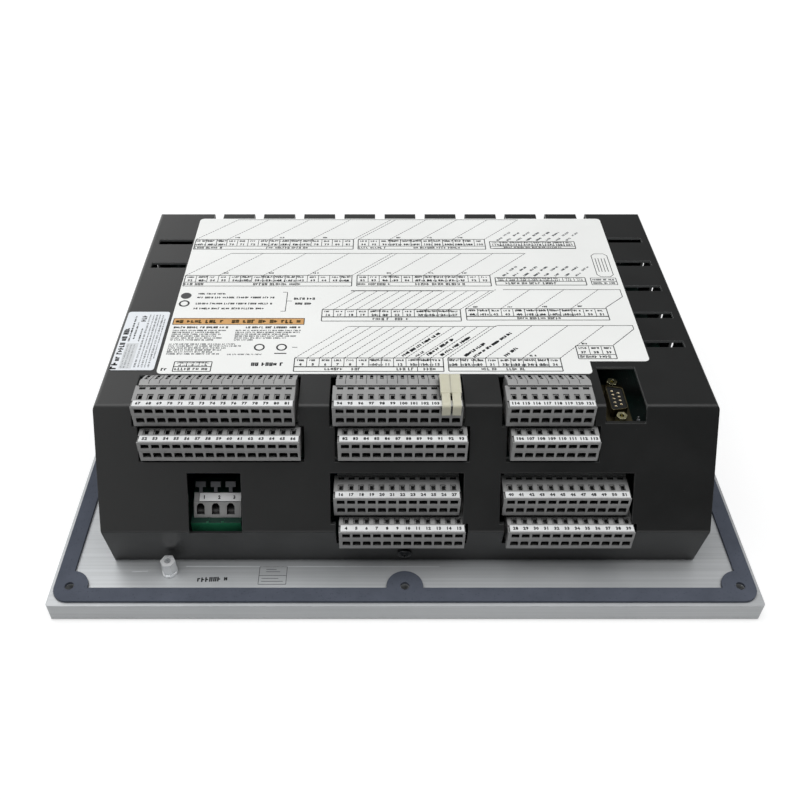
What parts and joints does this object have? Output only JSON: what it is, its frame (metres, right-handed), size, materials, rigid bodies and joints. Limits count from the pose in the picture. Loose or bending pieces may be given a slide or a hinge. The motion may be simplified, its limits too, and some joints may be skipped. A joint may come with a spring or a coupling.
{
  "type": "digital speed controller",
  "caption": "Flush panel-mount electronic speed controller seen from its rear: bezel plate with gasket, folded vented cover, stacked pluggable terminal blocks and a data connector",
  "frame": {"origin": "centre of the bezel plate's front face, which is the lowest plane", "axes": "+X along the plate's long side to the right as seen from the rear with the terminals towards the viewer; +Y across the plate, away from the terminals; +Z from the bezel's front face to the rear of the unit"},
  "size_m": [0.3556, 0.2794, 0.1035],
  "materials": {
    "plate_metal": "clear anodised, fine brushed",
    "gasket_rubber": "matte closed-cell",
    "cover_coat": "fine matte powder coat on sheet steel",
    "zinc_screw": "zinc plated",
    "label_film": "satin printed film",
    "serial_film": "satin foil",
    "keypad_film": "fine textured polyester",
    "clear_window": "clear, polished",
    "display_dark": "smooth moulded",
    "board_laminate": "solder mask",
    "plug_grey": "moulded polyamide",
    "header_grey": "moulded polyamide",
    "marker_white": "smooth moulded, printed",
    "lever_cream": "moulded polyamide",
    "spring_steel": "stamped and hardened",
    "tinned_copper": "tin plated",
    "header_green": "moulded polyamide",
    "tab_grey": "moulded polyamide",
    "shell_bronze": "yellow chromate on steel",
    "black_plastic": "moulded",
    "gold_contact": "gold flash",
    "core_steel": "varnished laminations",
    "can_sleeve": "shrunk sleeve",
    "relay_blue": "moulded",
    "sink_aluminium": "black anodised extrusion",
    "ribbon_grey": "flat ribbed cable"
  },
  "bodies": {
    "unit": {"bezel_plate": "plate_metal", "panel_gasket": "gasket_rubber", "rear_cover": "cover_coat", "cover_screws": "zinc_screw", "cover_blocks": "zinc_screw", "wiring_label": "label_film", "serial_label": "serial_film", "ground_standoff": "zinc_screw", "keypad_film": "keypad_film", "display_window": "clear_window", "display_module": "display_dark", "keypad_board": "board_laminate", "main_board": "board_laminate", "io_board": "board_laminate", "lower_standoffs": "zinc_screw", "upper_standoffs": "zinc_screw", "board_screws": "zinc_screw", "header_a": "header_grey", "header_b": "header_grey", "header_c": "header_grey", "header_d": "header_grey", "header_e": "header_grey", "header_pins": "tinned_copper", "plug_a1": "plug_grey", "plug_a2": "plug_grey", "plug_b1": "plug_grey", "plug_b2": "plug_grey", "plug_c1": "plug_grey", "plug_c2": "plug_grey", "plug_d1": "plug_grey", "plug_d2": "plug_grey", "plug_e1": "plug_grey", "plug_e2": "plug_grey", "marker_strips": "marker_white", "clamp_springs": "spring_steel", "contact_bars": "tinned_copper", "power_plug": "plug_grey", "power_header": "header_green", "power_pins": "tinned_copper", "power_tabs": "tab_grey", "data_shell": "shell_bronze", "data_insert": "black_plastic", "data_contacts": "gold_contact", "jackscrews": "zinc_screw", "power_transformer": "core_steel", "filter_capacitors": "can_sleeve", "output_relays": "relay_blue", "heat_sink": "sink_aluminium", "processor_chip": "black_plastic", "signal_chips": "black_plastic", "board_link": "black_plastic", "display_ribbon": "ribbon_grey", "ribbon_sockets": "black_plastic", "service_header": "black_plastic", "service_pins": "tinned_copper"},
    "left_lever": {"lever_left": "lever_cream"},
    "right_lever": {"lever_right": "lever_cream"}
  },
  "joints": [
    {"name": "left_lever_hinge", "type": "hinge", "parent": "unit", "child": "left_lever", "pos_m": [0.0185, -0.0923, 0.09655], "axis": [1, 0, 0], "range_deg": [0, 45], "stiffness_Nm_per_rad": 0.02},
    {"name": "right_lever_hinge", "type": "hinge", "parent": "unit", "child": "right_lever", "pos_m": [0.0235, -0.0923, 0.09655], "axis": [1, 0, 0], "range_deg": [0, 45], "stiffness_Nm_per_rad": 0.02}
  ]
}
